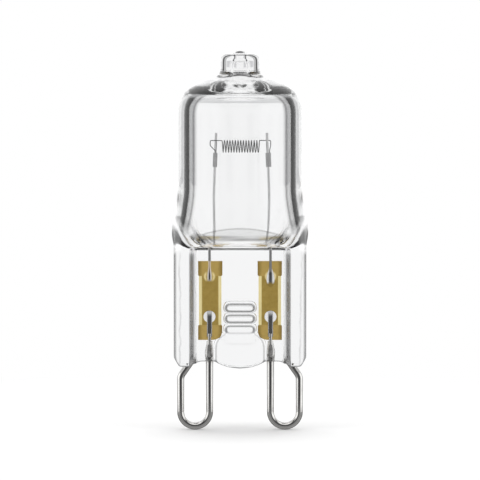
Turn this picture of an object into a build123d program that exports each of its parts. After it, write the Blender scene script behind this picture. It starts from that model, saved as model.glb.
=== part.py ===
from build123d import *
import os
from math import cos, radians, sin, sqrt

# Capsule lamp for an oven: a quartz capsule on a flat pinch seal with two looped pins.
# X runs across the pinch, Y through its thickness and Z up. The loops' feet are at Z = 0.
# All sizes are in millimetres.

# Contact loops
wire_diameter = 0.7
pin_spacing = 9.0
leg_spacing = 2.9
exposed_length = 6.5
knee_drop = 1.45
knee_radius = 1.0
tail_lean = 35
tail_reach = 0.7

# Upper end of each contact wire, inside the glass
swell_radius = 0.46
swell_rise = 1.35
shank_radius = 0.28
shank_rise = 2.45
neck_diameter = 0.34
neck_lap = 0.35
stub_width = 0.5
stub_thickness = 0.25
stub_length = 2.0
weld_radius = 0.6
socket_gap = 0.05

# Sealing foils
foil_width = 2.45
foil_length = 7.9
foil_thickness = 0.1
foil_edge = 0.03
foil_bevel = 0.3
foil_waist = 0.1
foil_band = 1.5
foil_rise = 2.55
foil_shift = 0.07

# Pinch seal
pinch_width = 13.2
pinch_height = 11.6
rail_depth = 5.0
rail_crest = 1.55
rail_slope = 0.5
rail_corner = 0.6
web_depth = 2.9
foot_hollow = 0.45
foot_lobe = 0.23
foot_lobe_width = 5.0
foot_bevel_width = 0.55
foot_bevel_height = 0.9
foot_rounding = 0.2
press_overlap = 1.5
cut_margin = 1.0

# Raised bars and pad on both faces of the pinch
bar_count = 4
bar_width = 2.8
bar_height = 0.68
bar_pitch = 1.08
bar_rise = 2.6
bar_relief = 0.45
bar_corner = 0.27
pad_width = 4.8
pad_height = 3.5
pad_corner = 1.4
pad_relief = 0.28
relief_rounding = 0.15

# Capsule
barrel_radius = 6.25
barrel_height = 7.9
wall = 1.1
shoulder_height = 5.9
shoulder_flare = 0.6
shoulder_power = 7
dome_corner = 3.0
dome_crown = 11.2
floor_thickness = 0.9
floor_corner = 1.6
chamber_corner = 1.4
chamber_crown = 22.0
crown_thickness = 1.75

# Exhaust tip
tip_radius = 1.95
tip_height = 2.06
tip_corner = 0.6
tip_root = 0.6
tip_bore = 0.8
tip_cover = 0.45
bore_flare = 1.6
nub_radius = 0.62
nub_height = 0.35
nub_rounding = 0.31

# Inner leads
lead_diameter = 0.26
lead_overlap = 1.85
lead_top_place = {"left": 2.39, "right": 2.69}
lead_spread = 0.35
lead_bend_rise = 1.4
lead_bend_radius = 1.0
lead_over_coil = 1.35
lead_gap = 0.02
weld_lift = 0.01
capillary_gap = 0.12
capillary_depth = 1.2
nugget_width = 0.8
nugget_length = 1.5
nugget_height = 0.2
dimple_radius = 0.42
dimple_depth = 0.03

# Filament and its clamps
coil_diameter = 1.27
coil_wire = 0.09
coil_turns = 14
coil_pitch = 0.269
coil_place = 0.07
coil_rise = 9.4
leg_gap = 0.01
leg_pass = 0.3
leg_swing = {"left": 0.55, "right": 0.36}
leg_bend_radius = 0.14
clamp_wall = 0.08
clamp_gap = 0.01
clamp_length = 1.4
clamp_drop = 0.65
leg_over_clamp = 0.21
wire_sides = 8

# The shoulder's share of its flare at each share of its fall from the barrel
flare_at_fall = {0: 0, 0.12: 0.1, 0.3: 0.33, 0.5: 0.67, 0.7: 1.0, 0.82: 0.9, 0.9: 0.7, 0.955: 0.45}

# Levels and places that the pieces share
pinch_foot = exposed_length
pinch_top = pinch_foot + pinch_height
barrel_foot = pinch_top + shoulder_height
barrel_top = barrel_foot + barrel_height
wire_radius = wire_diameter / 2
lead_radius = lead_diameter / 2
half_leg = leg_spacing / 2
pinch_side = pinch_width / 2
rail_inside = pinch_side - rail_crest
web_edge = rail_inside - rail_slope
inner_leg = pin_spacing / 2 - half_leg
outer_leg = pin_spacing / 2 + half_leg
foil_place = inner_leg - foil_shift
foil_foot = pinch_foot + foil_rise
foil_top = foil_foot + foil_length
foil_face = foil_thickness / 2
web_face = web_depth / 2
chamber_radius = barrel_radius - wall
chamber_floor = pinch_top + floor_thickness
stub_foot = foil_foot + neck_diameter
stub_top = stub_foot + stub_length
shank_top = pinch_foot + shank_rise
lead_foot = foil_top - lead_overlap
coil_axis = chamber_floor + coil_rise
lead_top = coil_axis + lead_over_coil
lead_knee = chamber_floor + lead_bend_rise
leg_radius = coil_wire / 2
coil_radius = coil_diameter / 2 - leg_radius
coil_length = coil_turns * coil_pitch
leg_offset = lead_radius + leg_radius + leg_gap
clamp_top = coil_axis - clamp_drop
dimple_ball = (dimple_radius**2 + dimple_depth**2) / (2 * dimple_depth)
tail_turn = radians(tail_lean)
knee_foot = pinch_foot - knee_drop
knee_top = knee_foot + knee_radius * sin(tail_turn)
tail_length = (pinch_foot + tail_reach - knee_top) / cos(tail_turn)

os.makedirs("parts", exist_ok=True)


def turned_dome(radius, foot, shoulder, corner, crown, foot_corner, neck, neck_top, neck_root, neck_corner):
    """A turned body with a round-cornered dome, and a neck of the given radius on its axis."""
    rise = sqrt((crown - corner) ** 2 - (radius - corner) ** 2)
    crown_centre = shoulder - rise
    reach = crown / (crown - corner)
    join = (reach * (radius - corner), crown_centre + reach * rise)
    diagonal = corner * sqrt(0.5)
    with BuildPart() as dome:
        with BuildSketch(Plane.XZ):
            with BuildLine():
                Polyline((0, crown_centre + crown), (0, foot), (radius, foot), (radius, shoulder))
                ThreePointArc((radius, shoulder), (radius - corner + diagonal, shoulder + diagonal), join)
                RadiusArc(join, (0, crown_centre + crown), -crown)
            make_face()
        revolve(axis=Axis.Z)
        if foot_corner:
            fillet(dome.edges().sort_by(Axis.Z)[0], foot_corner)
        with BuildSketch(Plane.XY.offset(foot)):
            Circle(neck)
        extrude(amount=neck_top - foot)
        crown_face = dome.faces().filter_by(GeomType.SPHERE)[0]
        fillet(crown_face.edges().sort_by(Axis.Z)[-1], neck_root)
        fillet(dome.faces().sort_by(Axis.Z)[-1].edges(), neck_corner)
    return dome.part


def apex(radius, shoulder, corner, crown):
    """Height of a dome's crown on its axis."""
    return shoulder - sqrt((crown - corner) ** 2 - (radius - corner) ** 2) + crown


def oval_shoulder():
    """The flared shoulder below the barrel: wider across X while its depth closes on the web."""
    with BuildPart() as shoulder:
        for fall, flare in flare_at_fall.items():
            half_depth = barrel_radius * sqrt(1 - fall**shoulder_power)
            with BuildSketch(Plane.XY.offset(barrel_foot - fall * shoulder_height)):
                Ellipse(barrel_radius + flare * shoulder_flare, half_depth)
        loft()
    return shoulder.part


def pinch_press():
    """The pressed seal: two rails joined by a thinner web, up into the shoulder."""
    half_depth = rail_depth / 2
    with BuildPart() as press:
        with BuildSketch(Plane.XY.offset(pinch_foot - foot_lobe)):
            RectangleRounded(pinch_width, rail_depth, rail_corner)
            for side in (-1, 1):
                with BuildLine():
                    Polyline(
                        (-rail_inside, side * half_depth),
                        (-web_edge, side * web_face),
                        (web_edge, side * web_face),
                        (rail_inside, side * half_depth),
                        close=True,
                    )
                make_face(mode=Mode.SUBTRACT)
        extrude(amount=pinch_height + foot_lobe + press_overlap)
    return press.part


def foot_cut():
    """The space below the pressed foot: a round lobe, a hollow on each side of it and bevelled rails."""
    lobe_edge = foot_lobe_width / 2
    hollow = pinch_foot + foot_hollow
    with BuildPart() as cut:
        with BuildSketch(Plane.XZ):
            with BuildLine():
                lobe = TangentArc((0, pinch_foot - foot_lobe), (lobe_edge, hollow), tangent=(1, 0))
                Polyline(
                    lobe @ 1,
                    (web_edge - foot_bevel_width, hollow),
                    (rail_inside, pinch_foot),
                    (pinch_side - foot_bevel_width, pinch_foot),
                    (pinch_side, pinch_foot + foot_bevel_height),
                    (pinch_side + cut_margin, pinch_foot + foot_bevel_height),
                    (pinch_side + cut_margin, 0),
                    (0, 0),
                    lobe @ 0,
                )
            make_face()
            mirror(about=Plane.YZ)
            foot = vertices().filter_by_position(Axis.Y, pinch_foot / 2, hollow)
            fillet(foot.filter_by_position(Axis.X, -web_edge, web_edge).group_by(Axis.X)[0], foot_rounding)
            foot = vertices().filter_by_position(Axis.Y, pinch_foot / 2, hollow)
            fillet(foot.filter_by_position(Axis.X, -web_edge, web_edge).group_by(Axis.X)[-1], foot_rounding)
        extrude(amount=rail_depth, both=True)
    return cut.part


def outer_faces(builder, face):
    """The flat faces of a part that look away from the web on one side."""
    return builder.faces().group_by(Axis.Y)[-1 if face > 0 else 0]


def raised_face(face):
    """The arched pad at the foot of one face of the web, and the row of bars above it."""
    pad_foot = pinch_foot - foot_lobe
    web_plane = Plane(origin=(0, face * web_face / 2, 0), x_dir=(face, 0, 0), z_dir=(0, face, 0))
    with BuildPart() as bars:
        with BuildSketch(web_plane):
            for count in range(bar_count):
                with Locations((0, -pinch_foot - bar_rise - count * bar_pitch)):
                    RectangleRounded(bar_width, bar_height, bar_corner)
        extrude(amount=web_face / 2 + bar_relief)
        fillet(outer_faces(bars, face).edges(), relief_rounding)
    with BuildPart() as pad:
        with BuildSketch(web_plane):
            with Locations((0, -pad_foot)):
                Rectangle(pad_width, pad_height, align=(Align.CENTER, Align.MAX))
            fillet(vertices().group_by(Axis.Y)[0], pad_corner)
        extrude(amount=web_face / 2 + pad_relief)
        fillet(outer_faces(pad, face).edges(), relief_rounding)
        add(bars.part)
    return pad.part


def sealing_foil(side):
    """A flat foil: full end bands, a waist with feathered edges and the dimple of the lead's weld."""
    half = foil_width / 2
    waist = half - foil_waist
    turn = foil_band - foil_waist
    with BuildPart() as foil:
        with BuildSketch(Plane(origin=(side * foil_place, 0, foil_foot), x_dir=(1, 0, 0), z_dir=(0, -1, 0))):
            with BuildLine():
                Polyline((0, 0), (half, 0), (half, turn), (waist, foil_band), (waist, foil_length / 2))
                mirror(about=Plane.XZ.offset(-foil_length / 2))
                mirror(about=Plane.YZ)
            make_face()
        extrude(amount=foil_face, both=True)
        with BuildSketch(Plane.XY.offset(foil_foot + foil_band)):
            for edge in (-1, 1):
                for face in (-1, 1):
                    rim = side * foil_place + edge * waist
                    with BuildLine():
                        Polyline(
                            (rim, face * foil_edge / 2),
                            (rim, face * foil_face),
                            (rim - edge * foil_bevel, face * foil_face),
                            close=True,
                        )
                    make_face()
        extrude(amount=foil_length - 2 * foil_band, mode=Mode.SUBTRACT)
        with Locations((side * inner_leg, side * (foil_face - dimple_depth + dimple_ball), lead_foot)):
            Sphere(dimple_ball, mode=Mode.SUBTRACT)
    return foil.part


def wire_head(side, gap):
    """The sealed end of a contact wire: swelling, shank, thin neck, flat stub and round weld on the foil."""
    place = side * inner_leg
    neck_radius = neck_diameter / 2
    with BuildPart() as head:
        with BuildSketch(Plane.XZ.shift_origin((0, 0, pinch_foot))):
            with BuildLine():
                swelling = Spline(
                    (wire_radius + gap, 0),
                    (swell_radius + gap, swell_rise),
                    (shank_radius + gap, shank_rise),
                    tangents=((0, 1), (0, 1)),
                )
                Polyline(swelling @ 1, (0, shank_rise + gap), (0, 0), swelling @ 0)
            make_face()
        revolve(axis=Axis.Z)
    shaft = Pos(place, 0, 0) * head.part
    with BuildPart() as whole:
        add(shaft)
        with BuildSketch(Plane.XY.offset(shank_top - neck_lap)):
            with Locations((place, -foil_face - weld_lift - neck_radius)):
                Circle(neck_radius + gap)
        extrude(amount=stub_foot - shank_top + 2 * neck_lap)
        with BuildSketch(Plane.XZ.offset(foil_face - gap)):
            with Locations((place, (stub_foot + stub_top) / 2)):
                Rectangle(stub_width + 2 * gap, stub_length + 2 * gap)
            with Locations((place, stub_top)):
                Circle(weld_radius + gap)
        extrude(amount=stub_thickness + 2 * gap)
    return whole.part


def contact_loop(side):
    """A contact wire: up from the foil's weld, round the loop, and in at the rail's foot."""
    with BuildPart() as loop:
        with BuildLine(Plane.XZ) as route:
            inner = Line((side * inner_leg, pinch_foot), (side * inner_leg, wire_radius + half_leg))
            bend = ThreePointArc(
                inner @ 1, (side * pin_spacing / 2, wire_radius), (side * outer_leg, wire_radius + half_leg)
            )
            outer = Line(bend @ 1, (side * outer_leg, knee_foot))
            knee = JernArc(start=outer @ 1, tangent=outer % 1, radius=knee_radius, arc_size=side * tail_lean)
            PolarLine(knee @ 1, tail_length, direction=knee % 1)
        with BuildSketch(Plane(origin=inner @ 0, z_dir=inner % 0)):
            Circle(wire_radius)
        sweep(path=route.wires()[0])
        add(wire_head(side, 0))
    return loop.part


def tail_hole(side):
    """The blind hole in the rail's foot that takes the end of the outer leg."""
    direction = (-side * sin(tail_turn), 0, cos(tail_turn))
    start = (side * (outer_leg - knee_radius * (1 - cos(tail_turn))), 0, knee_top)
    with BuildPart() as hole:
        with BuildSketch(Plane(origin=start, z_dir=direction)):
            Circle(wire_radius + socket_gap)
        extrude(amount=tail_length + socket_gap)
    return hole.part


def lead_line(name, side, level):
    """A point on the straight upper run of an inner lead, at the given level."""
    fall = (lead_top - level) / (lead_top - lead_knee)
    return Vector(side * (lead_top_place[name] + fall * lead_spread), 0, level)


def inner_lead(name, side, gap, top):
    """An inner lead from its weld on the foil up to the given level, with its weld nugget."""
    seat = -side * foil_face
    rest = seat - side * (lead_radius + weld_lift)
    place = side * inner_leg
    with BuildPart() as lead:
        with BuildLine():
            route = FilletPolyline(
                (place, rest, lead_foot),
                (place, rest, chamber_floor),
                lead_line(name, side, lead_knee),
                lead_line(name, side, top),
                radius=lead_bend_radius,
            )
        with BuildSketch(Plane(origin=route @ 0, z_dir=route % 0)):
            Circle(lead_radius + gap)
        sweep(path=route)
        nugget = Plane(origin=(place, seat + side * gap, lead_foot), x_dir=(1, 0, 0), z_dir=(0, -side, 0))
        with BuildSketch(nugget):
            Ellipse(nugget_width / 2 + gap, nugget_length / 2 + gap)
        extrude(amount=nugget_height + 2 * gap)
    return lead.part


def filament_clamp(name, side):
    """A sleeve crimped round the lead and the filament's leg, egg-shaped in section."""
    centre = lead_line(name, side, clamp_top - clamp_length / 2)
    along = lead_line(name, side, lead_top) - lead_line(name, side, lead_knee)
    with BuildPart() as clamp:
        for margin, mode in ((clamp_wall, Mode.ADD), (0, Mode.SUBTRACT)):
            with BuildSketch(Plane(origin=centre, x_dir=leg_side(name), z_dir=along)):
                with BuildLine():
                    CenterArc((0, 0), lead_radius + clamp_gap + margin, 0, 360)
                    CenterArc((leg_offset, 0), leg_radius + clamp_gap + margin, 0, 360)
                make_hull()
            extrude(amount=clamp_length / 2, both=True, mode=mode)
    return clamp.part


def leg_side(name):
    """The side of the lead on which the filament's leg is held: in front at left, outside at right."""
    return Vector(0, -1, 0) if name == "left" else Vector(1, 0, 0)


def filament_leg(name, side, start, direction):
    """One end of the filament wire: past its lead, round it and down into the clamp."""
    lead = lead_line(name, side, start.Z)
    passing = start + direction * leg_pass
    swing = side * leg_swing[name]
    inside = leg_side(name) * leg_offset
    over = clamp_top + leg_over_clamp
    with BuildPart() as leg:
        with BuildLine():
            route = FilletPolyline(
                start,
                passing,
                (lead.X + swing, passing.Y, start.Z),
                (lead.X + swing, passing.Y / 2 + inside.Y / 2, (start.Z + over) / 2),
                lead_line(name, side, over) + inside,
                lead_line(name, side, clamp_top - clamp_length / 2) + inside,
                radius=leg_bend_radius,
            )
        with BuildSketch(Plane(origin=route @ 0, z_dir=route % 0)):
            RegularPolygon(leg_radius, wire_sides)
        sweep(path=route)
    return leg.part


sides = {"left": -1, "right": 1}

with BuildPart() as filament:
    with BuildLine():
        coil = Helix(
            coil_pitch,
            coil_length,
            coil_radius,
            center=(coil_place - coil_length / 2, 0, coil_axis),
            direction=(1, 0, 0),
            lefthand=True,
        )
    with BuildSketch(Plane(origin=coil @ 0, z_dir=coil % 0)):
        RegularPolygon(leg_radius, wire_sides)
    sweep(path=coil, is_frenet=True)
    add(filament_leg("left", -1, coil @ 0, -(coil % 0)))
    add(filament_leg("right", 1, coil @ 1, coil % 1))

pieces = {"filament": filament.part}
for name, side in sides.items():
    pieces["inner_lead_" + name] = inner_lead(name, side, 0, lead_top)
    pieces["filament_clamp_" + name] = filament_clamp(name, side)
    pieces["sealing_foil_" + name] = sealing_foil(side)
    pieces["contact_loop_" + name] = contact_loop(side)

crown_top = apex(barrel_radius, barrel_top, dome_corner, dome_crown)
tip_top = crown_top + tip_height
chamber_apex = crown_top - crown_thickness
chamber_shoulder = chamber_apex - apex(chamber_radius, 0, chamber_corner, chamber_crown)
glass = turned_dome(
    barrel_radius,
    barrel_foot,
    barrel_top,
    dome_corner,
    dome_crown,
    0,
    tip_radius,
    tip_top,
    tip_root,
    tip_corner,
)
chamber = turned_dome(
    chamber_radius,
    chamber_floor,
    chamber_shoulder,
    chamber_corner,
    chamber_crown,
    floor_corner,
    tip_bore,
    tip_top - tip_cover,
    bore_flare,
    tip_bore / 2,
)

with BuildPart() as quartz_envelope:
    add(glass)
    add(oval_shoulder())
    add(pinch_press())
    with BuildSketch(Plane.XY.offset(tip_top)):
        Circle(nub_radius)
    extrude(amount=nub_height)
    fillet(quartz_envelope.faces().sort_by(Axis.Z)[-1].edges(), nub_rounding)
    for face in (-1, 1):
        add(raised_face(face))
    add(foot_cut(), mode=Mode.SUBTRACT)
    add(chamber, mode=Mode.SUBTRACT)
    for name, side in sides.items():
        add(pieces["sealing_foil_" + name], mode=Mode.SUBTRACT)
        add(wire_head(side, socket_gap), mode=Mode.SUBTRACT)
        add(tail_hole(side), mode=Mode.SUBTRACT)
        add(inner_lead(name, side, lead_gap, lead_top), mode=Mode.SUBTRACT)
        with BuildSketch(Plane.XY.offset(chamber_floor - capillary_depth)):
            with Locations((side * inner_leg, -side * (foil_face + lead_radius + weld_lift))):
                Circle(lead_radius + capillary_gap)
        extrude(amount=2 * capillary_depth, mode=Mode.SUBTRACT)

pieces["quartz_envelope"] = quartz_envelope.part
for name, piece in pieces.items():
    piece.label = name
    export_step(piece, "parts/" + name + ".step")
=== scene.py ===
from math import cos, radians, sin

import bpy
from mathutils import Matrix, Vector


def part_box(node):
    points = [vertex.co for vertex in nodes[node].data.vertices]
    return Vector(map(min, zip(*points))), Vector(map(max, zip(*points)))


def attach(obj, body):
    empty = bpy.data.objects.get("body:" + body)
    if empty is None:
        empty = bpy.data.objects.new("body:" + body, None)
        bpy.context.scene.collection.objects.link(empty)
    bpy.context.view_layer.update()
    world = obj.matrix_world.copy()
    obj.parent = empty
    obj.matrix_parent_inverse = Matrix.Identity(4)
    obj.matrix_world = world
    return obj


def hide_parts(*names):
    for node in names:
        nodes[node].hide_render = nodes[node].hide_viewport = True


# An oven's capsule lamp, standing on its two wire loops on a white table.
# Lengths are in metres, and MM turns a length in millimetres into one.
MM = 0.001

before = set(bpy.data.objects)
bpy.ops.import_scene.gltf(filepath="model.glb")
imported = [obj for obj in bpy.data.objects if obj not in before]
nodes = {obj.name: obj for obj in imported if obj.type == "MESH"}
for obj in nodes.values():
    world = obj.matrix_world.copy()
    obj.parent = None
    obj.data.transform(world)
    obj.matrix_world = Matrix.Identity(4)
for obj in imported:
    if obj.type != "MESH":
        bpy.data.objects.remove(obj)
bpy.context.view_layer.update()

SIDES = {"left": -1, "right": 1}

# Camera
FIELD_WIDTH = 48 * MM
CAMERA_DISTANCE = 0.35
CAMERA_RISE = radians(3)
AIM_HEIGHT = 19.03 * MM
SENSOR_WIDTH = 36

# Places read from the frame
glass_low, glass_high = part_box("quartz_envelope")
foil_low, foil_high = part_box("sealing_foil_right")

# Places inside the glass that no box of the frame gives
LEG_OFFSET = 3.05 * MM
CONTACT_ENTRY = 6.9 * MM
STUB_FOOT = 9.75 * MM
CONTACT_WELD = 11.35 * MM
LEAD_FOOT = 15.1 * MM
TIP_FOOT = 35.2 * MM

WHITE = (1, 1, 1, 1)
BLACK = (0, 0, 0, 1)


def grey(level):
    """An even tone as a colour."""
    return (level, level, level, 1)


def only(obj):
    """Makes one object the only one selected, and the active one."""
    bpy.ops.object.select_all(action="DESELECT")
    obj.select_set(True)
    bpy.context.view_layer.objects.active = obj


def add_box(low, high):
    """A plain box between two corners, for joining to a piece."""
    size = [high[axis] - low[axis] for axis in range(3)]
    centre = [(high[axis] + low[axis]) / 2 for axis in range(3)]
    bpy.ops.mesh.primitive_cube_add(size=1, location=centre, scale=size)
    bpy.ops.object.transform_apply(location=True, rotation=False, scale=True)
    return bpy.context.object


# Node helpers


class Shader:
    """A small wrapper that adds and joins the nodes of one tree."""

    def __init__(self, tree):
        self.tree = tree

    def node(self, kind, *values, settings=None, **named):
        """Adds a node. Plain values go to its sockets in order, and the rest to the sockets they name."""
        made = self.tree.nodes.new(kind)
        for name, value in (settings or {}).items():
            setattr(made, name, value)
        for place, value in enumerate(values):
            self.feed(made, place, value)
        for name, value in named.items():
            self.feed(made, name.replace("_", " "), value)
        return made

    def feed(self, node, key, value):
        """Joins one socket of a node to an output, or sets it to a plain value."""
        socket = node.inputs[key]
        if isinstance(value, bpy.types.NodeSocket):
            self.tree.links.new(value, socket)
        else:
            socket.default_value = value

    def math(self, operation, *values):
        return self.node("ShaderNodeMath", *values, settings={"operation": operation}).outputs[0]

    def product(self, first, *others):
        for other in others:
            first = self.math("MULTIPLY", first, other)
        return first

    def largest(self, first, *others):
        for other in others:
            first = self.math("MAXIMUM", first, other)
        return first

    def size_of(self, value):
        return self.math("ABSOLUTE", value)

    def apart(self, value, other):
        """How far two values are from each other."""
        return self.size_of(self.math("SUBTRACT", value, other))

    def fade(self, value, start, end, low=0.0, high=1.0, curve="SMOOTHSTEP"):
        """A mask that goes from low to high while a value goes from start to end."""
        settings = {"interpolation_type": curve}
        return self.node("ShaderNodeMapRange", value, start, end, low, high, settings=settings).outputs[0]

    def line(self, value, start, end, low=0.0, high=1.0):
        """The same in a straight line."""
        return self.fade(value, start, end, low, high, "LINEAR")

    def length(self, vector):
        settings = {"operation": "LENGTH"}
        return self.node("ShaderNodeVectorMath", vector, settings=settings).outputs["Value"]

    def vector(self, x, y=0.0, z=0.0):
        return self.node("ShaderNodeCombineXYZ", x, y, z).outputs[0]

    def parts(self, vector):
        """A vector's three parts."""
        return self.node("ShaderNodeSeparateXYZ", vector).outputs[:]

    def place(self):
        """A point's place on its object."""
        return self.node("ShaderNodeTexCoord").outputs["Object"]

    def noise(self, place, scale, **named):
        """Noise that is stretched by its own scale on each axis."""
        stretched = self.node("ShaderNodeMapping", Vector=place, Scale=scale)
        return self.node("ShaderNodeTexNoise", Vector=stretched.outputs[0], Scale=1.0, **named)

    def mix(self, share, first, second, blend="MIX"):
        made = self.tree.nodes.new("ShaderNodeMix")
        made.data_type = "RGBA"
        made.blend_type = blend
        for place, value in ((0, share), (6, first), (7, second)):
            self.feed(made, place, value)
        return made.outputs[2]

    def tinted(self, colour, tint):
        """One colour multiplied by another."""
        return self.mix(1.0, colour, tint, "MULTIPLY")

    def ramp(self, value, stops):
        """A tone that follows a value through a list of stops, each a place and a tone."""
        made = self.tree.nodes.new("ShaderNodeValToRGB")
        elements = made.color_ramp.elements
        while len(elements) < len(stops):
            elements.new(0.5)
        for element, (place, tone) in zip(elements, stops):
            element.position = place
            element.color = grey(tone)
        self.feed(made, 0, value)
        return made.outputs[0]

    def either(self, share, first, second):
        """One shader or another."""
        return self.node("ShaderNodeMixShader", share, first, second).outputs[0]

    def group(self, tree, **named):
        """A shared effect, placed with its own values."""
        made = self.tree.nodes.new("ShaderNodeGroup")
        made.node_tree = tree
        for name, value in named.items():
            self.feed(made, name, value)
        return made


def new_group(name, inputs, outputs):
    """A shader node group with named inputs, each with its kind and value, and named outputs."""
    tree = bpy.data.node_groups.new(name, "ShaderNodeTree")
    for label, (kind, value) in inputs.items():
        socket = tree.interface.new_socket(label, in_out="INPUT", socket_type="NodeSocket" + kind)
        socket.default_value = value
    for label, kind in outputs.items():
        tree.interface.new_socket(label, in_out="OUTPUT", socket_type="NodeSocket" + kind)
    shader = Shader(tree)
    return tree, shader, shader.node("NodeGroupInput").outputs, shader.node("NodeGroupOutput")


def material(name, pieces):
    """A new material on the pieces, with an empty tree but for its output and surface."""
    made = bpy.data.materials.new(name)
    made.use_nodes = True
    made.node_tree.nodes.clear()
    shader = Shader(made.node_tree)
    surface = shader.node("ShaderNodeBsdfPrincipled")
    shader.node("ShaderNodeOutputMaterial", surface.outputs[0])
    for piece in pieces:
        piece.data.materials.clear()
        piece.data.materials.append(made)
    return shader, surface


# Effects of the metals. A fade is a pair of places: where a change begins, and where it is full.

DULL_ROUGHNESS_RISE = 0.12


def make_tarnish_group():
    """Fine tarnish: a mottled tone, and a roughness that rises where the surface is dull."""
    tree, shader, given, out = new_group(
        "surface tarnish",
        {
            "Scale": ("Float", 900.0),
            "Contrast": ("Float", 0.3),
            "Bright": ("Color", grey(0.8)),
            "Dull": ("Color", grey(0.5)),
            "Roughness": ("Float", 0.2),
        },
        {"Color": "Color", "Roughness": "Float"},
    )
    noise = shader.node(
        "ShaderNodeTexNoise",
        Vector=shader.place(),
        Scale=given["Scale"],
        Detail=5.0,
        Roughness=0.6,
    )
    low = shader.math("SUBTRACT", 0.5, shader.math("MULTIPLY", given["Contrast"], 0.5))
    mask = shader.line(noise.outputs[0], low, shader.math("SUBTRACT", 1.0, low))
    shader.feed(out, "Color", shader.mix(mask, given["Bright"], given["Dull"]))
    shader.feed(out, "Roughness", shader.math("MULTIPLY_ADD", mask, DULL_ROUGHNESS_RISE, given["Roughness"]))
    return tree


def make_drawn_group():
    """Lengthwise marks that a die leaves on drawn wire, as a height."""
    tree, shader, given, out = new_group(
        "drawn wire marks",
        {"Across": ("Float", 9000.0), "Along": ("Float", 250.0)},
        {"Height": "Float"},
    )
    scale = shader.vector(given["Across"], given["Across"], given["Along"])
    stretched = shader.node(
        "ShaderNodeVectorMath", shader.place(), scale, settings={"operation": "MULTIPLY"}
    )
    noise = shader.node("ShaderNodeTexNoise", Vector=stretched.outputs[0], Scale=1.0, Detail=3.0)
    shader.feed(out, "Height", noise.outputs[0])
    return tree


# Painted shade by the turn from the eye: where the dark core gives way to the flanks, and where the darker
# rim sets in.
CORE_SHADE_FADE = (0.02, 0.3)
RIM_SHADE_FADE = (0.3, 0.6)


def make_turn_shade_group():
    """Painted shade on round metal in glass, by how far it turns from the eye: a dark core, light flanks and
    a darker rim.
    """
    tree, shader, given, out = new_group(
        "painted turn shade",
        {
            "Facing": ("Float", 0.0),
            "Core": ("Float", 0.25),
            "Flank": ("Float", 1.0),
            "Rim": ("Float", 0.6),
        },
        {"Tone": "Color"},
    )
    share = shader.fade(given["Facing"], *CORE_SHADE_FADE)
    lit = shader.line(share, 0.0, 1.0, given["Core"], given["Flank"])
    rim = shader.fade(given["Facing"], *RIM_SHADE_FADE)
    edge = shader.line(rim, 0.0, 1.0, 1.0, given["Rim"])
    tone = shader.product(lit, edge)
    shader.feed(out, "Tone", shader.vector(tone, tone, tone))
    return tree


tarnish = make_tarnish_group()
drawn_marks = make_drawn_group()
painted_turn_shade = make_turn_shade_group()

METAL_GRAIN = 900.0
METAL_CONTRAST = 0.5
MARK_STRENGTH = 0.15
MARK_DEPTH = 0.01 * MM


def metal(name, pieces, bright, dull, roughness, core):
    """A drawn metal: mottled tone and gloss, fine lengthwise marks and painted shade on its turning sides,
    whose dark core is as dark as core says.

    Gives back the shader, its surface, the mottled tone, the turn to the eye and the tone with its painted
    shade.
    """
    shader, surface = material(name, pieces)
    wear = shader.group(
        tarnish,
        Scale=METAL_GRAIN,
        Contrast=METAL_CONTRAST,
        Bright=(*bright, 1),
        Dull=(*dull, 1),
        Roughness=roughness,
    )
    plain = wear.outputs["Color"]
    facing = shader.node("ShaderNodeLayerWeight", Blend=0.5).outputs["Facing"]
    # Painted shade by the turn from the eye; core sets how dark the middle is.
    turn_shade = shader.group(painted_turn_shade, Facing=facing, Core=core)
    tone = shader.tinted(plain, turn_shade.outputs["Tone"])
    marks = shader.group(drawn_marks).outputs["Height"]
    bump = shader.node("ShaderNodeBump", Strength=MARK_STRENGTH, Distance=MARK_DEPTH, Height=marks)
    shader.feed(surface, "Base Color", tone)
    shader.feed(surface, "Roughness", wear.outputs["Roughness"])
    shader.feed(surface, "Metallic", 1.0)
    shader.feed(surface, "Normal", bump.outputs[0])
    return shader, surface, plain, facing, tone


LEAD_GLASS_FADE = (18.4 * MM, 18.0 * MM)
LEAD_IN_GLASS = 0.5
NUGGET_FADE = (16.0 * MM, 15.8 * MM)
NUGGET_SUNK_FADE = (14.95 * MM, 14.6 * MM)
NUGGET_SIDE_FADE = (0.1 * MM, 0.24 * MM)
NUGGET_SHADE_TONES = (0.1, 0.95)
NUGGET_GOLD = (0.33, 0.23, 0.06, 1)


def lead_wire(pieces):
    """Grey wire with painted shade on its turning sides, darker in the glass, whose nugget on the foil has
    silver sides, painted shade down its middle and a gold foot.
    """
    shader, surface, _, _, tone = metal(
        "lead wire",
        pieces,
        bright=(0.9, 0.9, 0.9),
        dull=(0.75, 0.75, 0.75),
        roughness=0.35,
        core=0.65,
    )
    x, _, up = shader.parts(shader.place())
    sideways = shader.apart(shader.size_of(x), LEG_OFFSET)
    # Painted shade down the nugget's middle, silver at its sides.
    side = shader.fade(sideways, *NUGGET_SIDE_FADE, *NUGGET_SHADE_TONES)
    nugget = shader.mix(shader.fade(up, *NUGGET_SUNK_FADE), shader.vector(side, side, side), NUGGET_GOLD)
    held = shader.line(up, *LEAD_GLASS_FADE)
    tone = shader.mix(held, tone, shader.tinted(tone, grey(LEAD_IN_GLASS)))
    shader.feed(surface, "Base Color", shader.mix(shader.line(up, *NUGGET_FADE), tone, nugget))


CONTACT_GLASS_FADE = (CONTACT_ENTRY - 0.2 * MM, CONTACT_ENTRY + 0.1 * MM)
CONTACT_STUB_FADE = (STUB_FOOT - 0.1 * MM, STUB_FOOT)
CONTACT_SIDE_FADE = (0.12 * MM, 0.3 * MM)
CONTACT_CREST_FADE = (CONTACT_WELD, CONTACT_WELD + 0.45 * MM)
CONTACT_CREST_TONES = (0.0, 0.7)
WELD_SHADE_TONES = [(0.0, 0.07), (0.5, 0.3), (1.0, 0.85)]
OPEN_CORE_SHADE = 0.8
OPEN_RIM_SHADE = 0.28


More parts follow.
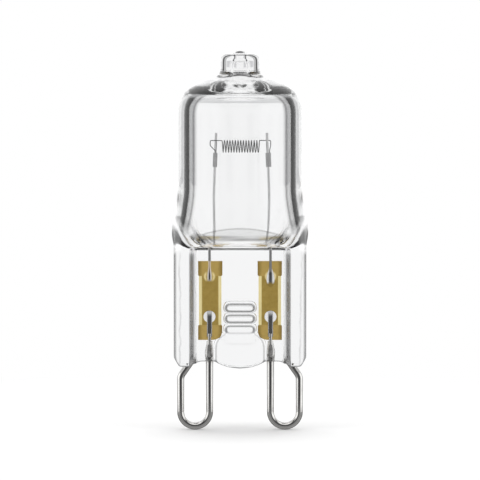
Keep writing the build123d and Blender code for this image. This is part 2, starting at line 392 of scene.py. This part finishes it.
def contact_wire(pieces):
    """Bright wire, with painted shade: dark rims in the open, a dark core in the glass, and a weld drop at
    its flat end that is dark along the wire's middle and light at its sides and top.
    """
    shader, surface, plain, facing, tone = metal(
        "contact wire",
        pieces,
        bright=(0.95, 0.94, 0.92),
        dull=(0.8, 0.79, 0.77),
        roughness=0.08,
        core=0.26,
    )
    x, _, up = shader.parts(shader.place())
    # Painted shade on the weld drop: dark along the wire's middle, light at its sides and above its crest.
    aside = shader.fade(shader.apart(shader.size_of(x), LEG_OFFSET), *CONTACT_SIDE_FADE)
    crest = shader.fade(up, *CONTACT_CREST_FADE, *CONTACT_CREST_TONES)
    weld_shade = shader.ramp(shader.largest(aside, crest), WELD_SHADE_TONES)
    tone = shader.mix(shader.line(up, *CONTACT_STUB_FADE), tone, weld_shade)
    # Painted shade in the open: a darker rim where the wire turns from the eye.
    open_turn_shade = shader.group(painted_turn_shade, Facing=facing, Core=OPEN_CORE_SHADE, Rim=OPEN_RIM_SHADE)
    open_tone = shader.tinted(plain, open_turn_shade.outputs["Tone"])
    shader.feed(surface, "Base Color", shader.mix(shader.line(up, *CONTACT_GLASS_FADE), open_tone, tone))


# The visible quartz: the frame's own form, with the hidden sockets round the metal closed

MESH_SIZE = 0.157 * MM
MERGE_DISTANCE = 1e-7
WHOLE_PASSES = 3
WALL_PASSES = 45
FLARE_PASSES = 60
FLARE = (TIP_FOOT - 1.0 * MM, TIP_FOOT + 0.9 * MM)
OUTER_ROUND_FOOT = 18.6 * MM
OUTER_TIP_PASSES = 10
CHAMBER_TIP_PASSES = 50

# Boxes that close the sockets at the right, in millimetres: across, through and up
SOCKET_PLUGS = [
    ((1.5, 5.0), (-0.62, 0.62), (7.0, 18.95)),
    ((4.4, 6.1), (-0.55, 0.55), (6.62, 7.6)),
]


def polish(shell, round_foot, tip_passes):
    """Gives a closed shell an even mesh, with its edges softened as heat softens them on glass."""
    only(shell)
    even = shell.modifiers.new("even mesh", "REMESH")
    even.mode = "VOXEL"
    even.voxel_size = MESH_SIZE
    bpy.ops.object.modifier_apply(modifier=even.name)
    zones = {"round wall": (round_foot, TIP_FOOT), "flare": FLARE, "tip": (TIP_FOOT, glass_high.z)}
    for label, (foot, top) in zones.items():
        zone = shell.vertex_groups.new(name=label)
        zone.add([spot.index for spot in shell.data.vertices if foot < spot.co.z <= top], 1.0, "ADD")
    rounds = {"": WHOLE_PASSES, "round wall": WALL_PASSES, "flare": FLARE_PASSES, "tip": tip_passes}
    for label, passes in rounds.items():
        soft = shell.modifiers.new("polish", "SMOOTH")
        soft.factor = 0.5
        soft.iterations = passes
        soft.vertex_group = label
        bpy.ops.object.modifier_apply(modifier=soft.name)


def close_sockets(piece):
    """Fills the sockets of the seal on both sides."""
    for side in SIDES.values():
        for across, through, up in SOCKET_PLUGS:
            corners = zip(sorted(side * place for place in across), through, up)
            low, high = [[place * MM for place in corner] for corner in corners]
            plug = add_box(low, high)
            join = piece.modifiers.new("plug", "BOOLEAN")
            join.operation = "UNION"
            join.solver = "EXACT"
            join.object = plug
            only(piece)
            bpy.ops.object.modifier_apply(modifier=join.name)
            bpy.data.objects.remove(plug)


def edit_all(obj, operator, **values):
    """Runs one edit-mode operator on a whole mesh."""
    only(obj)
    bpy.ops.object.mode_set(mode="EDIT")
    bpy.ops.mesh.select_all(action="SELECT")
    operator(**values)
    bpy.ops.object.mode_set(mode="OBJECT")


def clear_quartz():
    """A copy of the envelope whose sockets are closed, so that the metal lies in solid glass."""
    only(nodes["quartz_envelope"])
    bpy.ops.object.duplicate()
    piece = bpy.context.object
    piece.name = "clear_quartz"
    edit_all(piece, bpy.ops.mesh.remove_doubles, threshold=MERGE_DISTANCE)
    close_sockets(piece)
    edit_all(piece, bpy.ops.mesh.separate, type="LOOSE")
    shells = sorted(bpy.context.selected_objects, key=lambda shell: shell.dimensions.z, reverse=True)
    outer, chamber = shells[:2]
    for scrap in shells[2:]:
        bpy.data.objects.remove(scrap)
    polish(outer, OUTER_ROUND_FOOT, OUTER_TIP_PASSES)
    polish(chamber, glass_low.z, CHAMBER_TIP_PASSES)
    edit_all(chamber, bpy.ops.mesh.flip_normals)
    only(outer)
    chamber.select_set(True)
    bpy.ops.object.join()
    piece = bpy.context.object
    piece.name = "clear_quartz"
    bpy.ops.object.shade_smooth()
    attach(piece, "root")
    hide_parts("quartz_envelope")
    return piece


# Painted shade on the outer wall as it turns away from the eye: the share of light it lets through, standing
# in for the dark surroundings that a thick round wall bends into view. Glass tints by the square root of its
# colour at each wall, and only the first wall is tinted here, so each share is raised to a power.
WALL_POWER = 3.2
WALL_SHADE_TONES = [
    (0.0, 0.955),
    (0.27, 0.94),
    (0.3, 0.84),
    (0.325, 0.46),
    (0.365, 0.72),
    (0.395, 0.66),
    (0.425, 0.03),
    (0.455, 0.03),
    (0.5, 0.1),
    (0.54, 0.25),
    (0.58, 0.82),
    (0.7, 0.9),
    (0.85, 0.97),
    (1.0, 1.0),
]

# The same painted shade over the pressed seal, where only the rounded edges turn away
EDGE_SHADE_TONES = [
    (0.0, 0.97),
    (0.1, 0.95),
    (0.22, 0.72),
    (0.4, 0.5),
    (0.6, 0.44),
    (0.8, 0.6),
    (1.0, 0.9),
]
SOFT_TONE = grey(0.92)
COOL_CAST = (0.985, 0.992, 1.0, 1)


def make_wall_shade_group():
    """Painted shade on a thick round wall: a dark band and a thin second line before its bright rim."""
    tree, shader, given, out = new_group(
        "painted wall shade",
        {
            "Facing": ("Float", 0.0),
            "Outer": ("Float", 1.0),
            "Sealed": ("Float", 0.0),
            "Softening": ("Float", 0.0),
        },
        {"Color": "Color"},
    )
    tones, edges = [
        shader.ramp(given["Facing"], [(place, tone**WALL_POWER) for place, tone in stops])
        for stops in (WALL_SHADE_TONES, EDGE_SHADE_TONES)
    ]
    joined = shader.mix(given["Sealed"], tones, edges)
    soft = shader.mix(given["Softening"], joined, SOFT_TONE)
    shader.feed(out, "Color", shader.mix(given["Outer"], WHITE, shader.tinted(soft, COOL_CAST)))
    return tree


FOLD_STRETCH = (60, 60, 420)
FOLD_SWAY = 0.9 * MM
FOLD_BREAKS = (0.3, 0.5)


def make_fold_shade_group():
    """A wavering upright fold that the press leaves in the rails, as a mask for its painted dark shade."""
    tree, shader, given, out = new_group(
        "press fold shade",
        {"Distance": ("Float", 6 * MM), "Width": ("Float", 0.1 * MM)},
        {"Mask": "Float"},
    )
    place = shader.place()
    x, _, _ = shader.parts(place)
    sway = shader.noise(place, FOLD_STRETCH, Detail=3.0)
    shift = shader.math("MULTIPLY_ADD", sway.outputs[0], FOLD_SWAY, -FOLD_SWAY / 2)
    across = shader.math("ADD", shader.size_of(x), shift)
    mask = shader.line(shader.apart(across, given["Distance"]), given["Width"], 0.0)
    breaks = shader.line(sway.outputs[1], *FOLD_BREAKS)
    shader.feed(out, "Mask", shader.product(mask, breaks))
    return tree


# A painted image of the chamber's floor as it shows through the round wall, with its heights on the lamp
FLOOR_REACH = 5 * MM
FLOOR_SAG = 1.14 * MM
FLOOR_END_FADE = (5.2 * MM, 4.6 * MM)
ARC_HEIGHT = 20.44 * MM
ARC_FADE = (0.16 * MM, 0.02 * MM)
ARC_DEPTH = (0.0, 0.7)
BAND_FOOT_FADE = (19.1 * MM, 19.3 * MM)
BAND_TOP_FADE = (20.0 * MM, 19.6 * MM)
BAND_STREAKS = (300, 300, 2600)
STREAK_RANGE = (0.3, 0.7)
STREAK_TONES = (0.55, 1.0)
SHADE_TOP_FADE = (20.6 * MM, 20.3 * MM)
SHADE_DEPTH = 0.3
GOLD_INNER_FADE = (1.7 * MM, 2.2 * MM)
GOLD_OUTER_FADE = (4.4 * MM, 3.9 * MM)
GOLD_FOOT_FADE = (19.25 * MM, 19.4 * MM)
GOLD_TOP_FADE = (19.75 * MM, 19.6 * MM)


def make_painted_floor_image_group():
    """A painted image of the chamber's floor as the round wall shows it: a thin arc over a grey and gold
    band, and painted shade.
    """
    tree, shader, given, out = new_group(
        "painted chamber floor image",
        {"Gold": ("Color", (0.24, 0.18, 0.06, 1)), "Grey": ("Color", (0.15, 0.15, 0.145, 1))},
        {"Color": "Color", "Mask": "Float"},
    )
    place = shader.place()
    x, _, up = shader.parts(place)
    across = shader.size_of(x)
    fall = shader.math("POWER", shader.math("DIVIDE", across, FLOOR_REACH), 2.0)
    bent = shader.math("ADD", up, shader.product(fall, FLOOR_SAG))
    arc = shader.fade(shader.apart(bent, ARC_HEIGHT), *ARC_FADE, *ARC_DEPTH)
    streaks = shader.noise(place, BAND_STREAKS, Detail=3.0)
    grain = shader.line(streaks.outputs[0], *STREAK_RANGE, *STREAK_TONES)
    foot = shader.fade(up, *BAND_FOOT_FADE)
    band = shader.product(foot, shader.fade(up, *BAND_TOP_FADE), grain)
    shade = shader.product(shader.fade(bent, *SHADE_TOP_FADE), foot, SHADE_DEPTH)
    mask = shader.product(shader.largest(arc, band, shade), shader.fade(across, *FLOOR_END_FADE))
    gold = shader.product(
        shader.fade(across, *GOLD_INNER_FADE),
        shader.fade(across, *GOLD_OUTER_FADE),
        shader.fade(up, *GOLD_FOOT_FADE),
        shader.fade(up, *GOLD_TOP_FADE),
    )
    shader.feed(out, "Color", shader.mix(gold, given["Grey"], given["Gold"]))
    shader.feed(out, "Mask", mask)
    return tree


painted_wall_shade = make_wall_shade_group()
press_fold_shade = make_fold_shade_group()
painted_floor_image = make_painted_floor_image_group()

# Where the quartz changes its look, by height, by radius and by distance from the middle
SEAL_FADE = (18.8 * MM, 18.0 * MM)
PRESSED_FADE = (18.2 * MM, 17.2 * MM)
WAVE_FADE = (18.6 * MM, 17.4 * MM)
WAVE_STRENGTHS = (0.03, 1.0)
WAVE_STRETCH = (500, 500, 120)
WAVE_DEPTH = 0.03 * MM
SKIN_RADIUS_FADE = (5.25 * MM, 5.5 * MM)
SKIN_HEIGHT_FADE = (33.95 * MM, 34.1 * MM)
DOME_FADE = (33.2 * MM, 33.8 * MM)
DOME_TOP_FADE = (36.0 * MM, 35.4 * MM)
DOME_SOFTENING = (0.0, 0.75)
FOOT_FADE = (17.6 * MM, 18.1 * MM)
FOOT_TOP_FADE = (20.8 * MM, 19.6 * MM)
FOOT_SOFTENING = (0.0, 0.75)
WING_FADE = (5.7 * MM, 6.1 * MM)
WING_FOOT_FADE = (17.9 * MM, 18.4 * MM)
WING_TOP_FADE = (21.4 * MM, 20.4 * MM)
WING_SOFTENING = (0.0, 0.85)

# The two folds of each rail: distance from the middle and width
FOLDS = [(6.0 * MM, 0.14 * MM), (4.5 * MM, 0.07 * MM)]
FOLD_SHADE_DEPTH = 0.5
FOLD_SHADE_TONE = (0.08, 0.08, 0.085, 1)

WING_ROUGHNESS = 0.3
DOME_ROUGHNESS = 0.11
WING_PAINTED_GLOW = 0.17
QUARTZ_INDEX = 1.46


def quartz_waves(shader, place, up):
    """A faint waviness that grows strong in the pressed seal, as a normal."""
    waves = shader.noise(place, WAVE_STRETCH, Detail=2.0, Distortion=0.4)
    strength = shader.fade(up, *WAVE_FADE, *WAVE_STRENGTHS)
    bump = shader.node("ShaderNodeBump", Strength=strength, Distance=WAVE_DEPTH, Height=waves.outputs[0])
    return bump.outputs[0]


def quartz_material(pieces):
    """Clear quartz: waves that grow in the pressed seal, painted shade that follows the turn of the wall,
    painted dark folds, a painted image of the chamber floor and a painted glow on the wings.
    """
    shader, surface = material("quartz", pieces)
    place = shader.place()
    x, y, up = shader.parts(place)
    first_wall = shader.node("ShaderNodeLightPath").outputs["Is Camera Ray"]
    facing = shader.node("ShaderNodeLayerWeight", Blend=0.5).outputs["Facing"]

    seal = shader.fade(up, *SEAL_FADE)
    outside = shader.fade(shader.length(shader.vector(x, y)), *SKIN_RADIUS_FADE)
    skin = shader.largest(outside, shader.fade(up, *SKIN_HEIGHT_FADE), seal)
    dome = shader.product(shader.fade(up, *DOME_FADE, *DOME_SOFTENING), shader.fade(up, *DOME_TOP_FADE))
    foot = shader.product(shader.fade(up, *FOOT_TOP_FADE), shader.fade(up, *FOOT_FADE, *FOOT_SOFTENING))
    wing = shader.product(
        shader.fade(shader.size_of(x), *WING_FADE, *WING_SOFTENING),
        shader.fade(up, *WING_FOOT_FADE),
        shader.fade(up, *WING_TOP_FADE),
    )
    # Painted shade on the first wall the eye meets, by its turn from the eye, softened on the dome, the foot
    # and the wings.
    tint = shader.group(
        painted_wall_shade,
        Facing=facing,
        Outer=shader.product(skin, first_wall),
        Sealed=seal,
        Softening=shader.largest(dome, foot, wing),
    )
    colour = tint.outputs["Color"]

    # A painted image of the chamber's floor, on the first wall the eye meets.
    painted_image = shader.group(painted_floor_image)
    painted_image_share = shader.product(painted_image.outputs["Mask"], first_wall)
    colour = shader.mix(painted_image_share, colour, shader.tinted(colour, painted_image.outputs["Color"]))
    pressed = shader.fade(up, *PRESSED_FADE)
    # Painted dark shade along the two folds of each rail, on the first wall the eye meets.
    for distance, width in FOLDS:
        fold = shader.group(press_fold_shade, Distance=distance, Width=width)
        share = shader.product(fold.outputs["Mask"], pressed, FOLD_SHADE_DEPTH, first_wall)
        colour = shader.mix(share, colour, FOLD_SHADE_TONE)

    dullness = shader.largest(shader.product(wing, WING_ROUGHNESS), shader.product(dome, DOME_ROUGHNESS))
    # A painted glow on the wings of the seal, as emission on the first wall the eye meets.
    painted_glow = shader.product(wing, first_wall, WING_PAINTED_GLOW)
    shader.feed(surface, "Base Color", colour)
    shader.feed(surface, "Normal", quartz_waves(shader, place, up))
    shader.feed(surface, "Roughness", dullness)
    shader.feed(surface, "Emission Color", shader.mix(painted_glow, BLACK, WHITE))
    shader.feed(surface, "Emission Strength", 1.0)
    shader.feed(surface, "IOR", QUARTZ_INDEX)
    shader.feed(surface, "Transmission Weight", 1.0)


# The foils
FOIL_GRAIN = 2600.0
FOIL_CONTRAST = 0.9
FOIL_BRIGHT = (0.5, 0.355, 0.1, 1)
FOIL_DULL = (0.33, 0.225, 0.05, 1)
FOIL_ROUGHNESS = 0.3
STRIP_PALE_HIGHLIGHT = (1.0, 0.86, 0.44, 1)
END_GOLD = (0.6, 0.425, 0.135, 1)
END_SHARE = 0.7
END_CORNER = (0.2, 0.125, 0.03, 1)
END_CORNER_FADE = (0.7 * MM, 1.15 * MM)
END_CORNER_SHARES = (0.0, 0.6)
END_BAND = 1.5 * MM
EDGE_BEVEL = 0.3 * MM
WAIST_INSET = 0.1 * MM
SHARP_EDGE = 0.04 * MM

# The lead's weld on its foil: a pale halo, a silver spill and a dark core of painted shade
HALO_RISE = 0.3 * MM
HALO_RADIUS = 0.62 * MM
HALO_TONES = [(0.0, 0.0), (0.25, 1.0), (0.45, 0.6), (0.7, 0.0)]
HALO_PALE = (1.0, 0.84, 0.42, 1)
HALO_SIDE_FADE = (0.15 * MM, 0.42 * MM)
WELD_REACH_FOOT_FADE = (LEAD_FOOT - 0.2 * MM, LEAD_FOOT + 0.05 * MM)
SPILL_FADE = (LEAD_FOOT + 1.35 * MM, LEAD_FOOT + 0.3 * MM)
SPILL_TIP = 0.1 * MM
SPILL_LEFT = 0.2 * MM
SPILL_RIGHT_MORE = 0.17 * MM
SPILL_EDGE = 0.04 * MM
SPILL_SILVER = (0.9, 0.88, 0.86, 1)
CORE_SHARE = 0.5
CORE_EDGE = 0.03 * MM
CORE_TIP_FADE = (LEAD_FOOT + 1.3 * MM, LEAD_FOOT + 0.6 * MM)
CORE_TIP_SHADE_TONE = (0.5, 0.36, 0.26, 1)
CORE_SHADE_TONE = (0.07, 0.06, 0.06, 1)


def foil_tone(shader, plain, x, up):
    """Mid bands over the foil's full-thickness ends, a dark middle and a painted pale highlight on the
    feathered edges.
    """
    middle = (foil_low.z + foil_high.z) / 2
    centre = (foil_low.x + foil_high.x) / 2
    end_line = (foil_high.z - foil_low.z) / 2 - END_BAND
    strip_line = (foil_high.x - foil_low.x) / 2 - WAIST_INSET - EDGE_BEVEL
    ends = shader.line(shader.apart(up, middle), end_line - SHARP_EDGE, end_line + SHARP_EDGE)
    across = shader.apart(shader.size_of(x), centre)
    # A painted pale highlight on the bevelled edges.
    strip = shader.line(across, strip_line - SHARP_EDGE, strip_line + SHARP_EDGE)
    corner = shader.fade(across, *END_CORNER_FADE, *END_CORNER_SHARES)
    banded = shader.mix(corner, shader.mix(END_SHARE, plain, END_GOLD), END_CORNER)
    return shader.mix(ends, shader.mix(strip, plain, STRIP_PALE_HIGHLIGHT), banded)


def lead_weld_and_shade(shader, colour, x, up):
    """A lead's weld on its foil, wider at the right, with painted shade down its middle."""
    sideways = shader.math("SUBTRACT", shader.size_of(x), LEG_OFFSET)
    inward = shader.size_of(sideways)
    above = shader.math("SUBTRACT", up, LEAD_FOOT + HALO_RISE)
    near = shader.line(shader.length(shader.vector(sideways, above)), HALO_RADIUS, 0.0)
    halo = shader.product(shader.ramp(near, HALO_TONES), shader.fade(inward, *HALO_SIDE_FADE))
    colour = shader.mix(halo, colour, HALO_PALE)

    weld_reach = shader.line(up, *WELD_REACH_FOOT_FADE)
    right = shader.math("GREATER_THAN", x, 0.0)
    widest = shader.math("MULTIPLY_ADD", right, SPILL_RIGHT_MORE, SPILL_LEFT)
    width = shader.fade(up, *SPILL_FADE, SPILL_TIP, widest)
    spill = shader.line(shader.math("SUBTRACT", inward, width), SPILL_EDGE, -SPILL_EDGE)
    colour = shader.mix(shader.product(spill, weld_reach), colour, SPILL_SILVER)

    # Painted shade down the middle of the weld.
    core_gap = shader.math("SUBTRACT", inward, shader.product(width, CORE_SHARE))
    core = shader.line(core_gap, CORE_EDGE, -CORE_EDGE)
    core_shade_tone = shader.mix(shader.line(up, *CORE_TIP_FADE), CORE_TIP_SHADE_TONE, CORE_SHADE_TONE)
    return shader.mix(shader.product(core, weld_reach), colour, core_shade_tone)


def foil_material(pieces):
    """Gold-toned foil with the print of its lead's weld."""
    shader, surface = material("foil", pieces)
    x, _, up = shader.parts(shader.place())
    wear = shader.group(
        tarnish,
        Scale=FOIL_GRAIN,
        Contrast=FOIL_CONTRAST,
        Bright=FOIL_BRIGHT,
        Dull=FOIL_DULL,
        Roughness=FOIL_ROUGHNESS,
    )
    colour = foil_tone(shader, wear.outputs["Color"], x, up)
    shader.feed(surface, "Base Color", lead_weld_and_shade(shader, colour, x, up))
    shader.feed(surface, "Roughness", wear.outputs["Roughness"])
    shader.feed(surface, "Metallic", 1.0)


# The surroundings. Directions are parts of a unit vector, so they have no unit.
SKY_STRIPES = 8.0
SKY_STRIPE_FADE = (-0.1, -0.9)
SKY_LEVEL_FADE = (0.6, 0.3)
SKY_RING_HEIGHT = 0.42
SKY_RING_FADE = (0.16, 0.05)
SKY_SIDE_FADE = (0.5, 0.8)
SKY_TOP_FADE = (0.6, 0.85)
SKY_BACK_FADE = (0.0, 0.3)
SKY_DARK = (0.65, 0.65, 0.66, 1)
SKY_FILL = grey(0.72)
MIRROR_DARK = (0.07, 0.07, 0.072, 1)
MIRROR_BRIGHT = grey(1.25)


def build_world():
    """White to the camera, with darker turns of sky for what the glass and metal show."""
    world = bpy.data.worlds.new("studio")
    bpy.context.scene.world = world
    world.use_nodes = True
    world.node_tree.nodes.clear()
    shader = Shader(world.node_tree)
    x, y, z = shader.parts(shader.node("ShaderNodeTexCoord").outputs["Generated"])
    turn = shader.math("ARCTAN2", x, y)
    level = shader.fade(shader.size_of(z), *SKY_LEVEL_FADE)

    stripe = shader.fade(shader.math("COSINE", shader.product(turn, SKY_STRIPES)), *SKY_STRIPE_FADE)
    ring = shader.fade(shader.apart(z, SKY_RING_HEIGHT), *SKY_RING_FADE)
    bent = shader.mix(shader.largest(shader.product(stripe, level), ring), WHITE, SKY_DARK)

    side = shader.fade(shader.size_of(shader.math("SINE", turn)), *SKY_SIDE_FADE)
    above = shader.fade(z, *SKY_TOP_FADE)
    behind = shader.fade(y, *SKY_BACK_FADE)
    bright = shader.largest(shader.product(side, level), above, behind)
    mirrored = shader.mix(bright, MIRROR_DARK, MIRROR_BRIGHT)

    path = shader.node("ShaderNodeLightPath")
    colour = shader.mix(path.outputs["Is Glossy Ray"], SKY_FILL, mirrored)
    colour = shader.mix(path.outputs["Is Transmission Ray"], colour, bent)
    colour = shader.mix(path.outputs["Is Camera Ray"], colour, WHITE)
    back = shader.node("ShaderNodeBackground", Color=colour, Strength=1.0)
    shader.node("ShaderNodeOutputWorld", back.outputs[0])


TABLE_WIDTH = 1.2
TABLE_TONE = grey(0.9)
TABLE_FADE = (25 * MM, 60 * MM)
TABLE_SIDE_FADE = (0.5, 0.8)
TABLE_SIDE_GLOW = grey(1.1)
TABLE_NEAR_SHADE = grey(0.3)
TABLE_NEAR_SHADE_FADE = (30 * MM, 6 * MM)


def build_floor():
    """A pale table that takes the shadow and fades to white; metal sees a painted reflection glow on it,
    with painted shade near the lamp, and glass sees it plain white.
    """
    bpy.ops.object.select_all(action="DESELECT")
    bpy.ops.mesh.primitive_grid_add(x_subdivisions=8, y_subdivisions=8, size=TABLE_WIDTH)
    floor = bpy.context.object
    floor.name = "floor"
    made = bpy.data.materials.new("table")
    made.use_nodes = True
    made.node_tree.nodes.clear()
    shader = Shader(made.node_tree)
    place = shader.place()
    path = shader.node("ShaderNodeLightPath")
    matt = shader.node("ShaderNodeBsdfDiffuse", Color=TABLE_TONE).outputs[0]
    white = shader.node("ShaderNodeEmission", Color=WHITE, Strength=1.0).outputs[0]
    looked_at = shader.either(shader.fade(shader.length(place), *TABLE_FADE), matt, white)

    # To metal the table shows a painted reflection: a glow bright at the sides and dark ahead and behind,
    # with painted shade near the lamp.
    away = shader.node("ShaderNodeVectorMath", place, settings={"operation": "NORMALIZE"})
    aside = shader.size_of(shader.parts(away.outputs[0])[0])
    tone = shader.mix(shader.fade(aside, *TABLE_SIDE_FADE), MIRROR_DARK, TABLE_SIDE_GLOW)
    near = shader.fade(path.outputs["Ray Length"], *TABLE_NEAR_SHADE_FADE)
    tone = shader.mix(near, tone, TABLE_NEAR_SHADE)
    mirrored = shader.node("ShaderNodeEmission", Color=tone, Strength=1.0).outputs[0]

    shown = shader.either(path.outputs["Is Camera Ray"], matt, looked_at)
    shown = shader.either(path.outputs["Is Glossy Ray"], shown, mirrored)
    shown = shader.either(path.outputs["Is Transmission Ray"], shown, white)
    shader.node("ShaderNodeOutputMaterial", shown)
    floor.data.materials.append(made)


def softbox(name, place, size, power):
    """An area light that faces the middle of the lamp and shows in nothing."""
    light = bpy.data.lights.new(name, "AREA")
    light.shape = "RECTANGLE"
    light.size, light.size_y = size
    light.energy = power
    obj = bpy.data.objects.new(name, light)
    bpy.context.scene.collection.objects.link(obj)
    obj.location = place
    aim = Vector((0, 0, AIM_HEIGHT)) - obj.location
    obj.rotation_euler = aim.to_track_quat("-Z", "Y").to_euler()
    obj.visible_camera = False
    obj.visible_transmission = False
    obj.visible_glossy = False


def build_camera():
    """A camera in front of the lamp and a little above its middle."""
    camera = bpy.data.cameras.new("camera")
    camera.sensor_width = SENSOR_WIDTH
    camera.lens = SENSOR_WIDTH * CAMERA_DISTANCE / FIELD_WIDTH
    camera.clip_start = 0.01
    camera.clip_end = 10
    obj = bpy.data.objects.new("camera", camera)
    bpy.context.scene.collection.objects.link(obj)
    back = Vector((0, -cos(CAMERA_RISE), sin(CAMERA_RISE)))
    obj.location = Vector((0, 0, AIM_HEIGHT)) + back * CAMERA_DISTANCE
    obj.rotation_euler = (-back).to_track_quat("-Z", "Y").to_euler()
    bpy.context.scene.camera = obj


def both(name):
    """The left and the right node of a name."""
    return [nodes[name + "_" + side] for side in SIDES]


quartz_material([clear_quartz(), nodes["quartz_envelope"]])
contact_wire(both("contact_loop"))
lead_wire(both("inner_lead"))
# The clamps and the filament get painted shade on their turning sides from metal().
metal(
    "clamp metal",
    both("filament_clamp"),
    bright=(0.5, 0.5, 0.5),
    dull=(0.4, 0.4, 0.4),
    roughness=0.35,
    core=0.75,
)
metal(
    "tungsten",
    [nodes["filament"]],
    bright=(0.3, 0.3, 0.31),
    dull=(0.15, 0.15, 0.15),
    roughness=0.4,
    core=0.5,
)
foil_material(both("sealing_foil"))

build_world()
build_floor()
softbox("left softbox", place=(-0.5, -0.25, 0.25), size=(0.35, 0.7), power=1.0)
softbox("right softbox", place=(0.5, -0.25, 0.25), size=(0.35, 0.7), power=1.0)
softbox("top softbox", place=(0, 0.1, 0.7), size=(0.5, 0.5), power=2.0)
build_camera()

bpy.context.scene.view_settings.view_transform = "Standard"
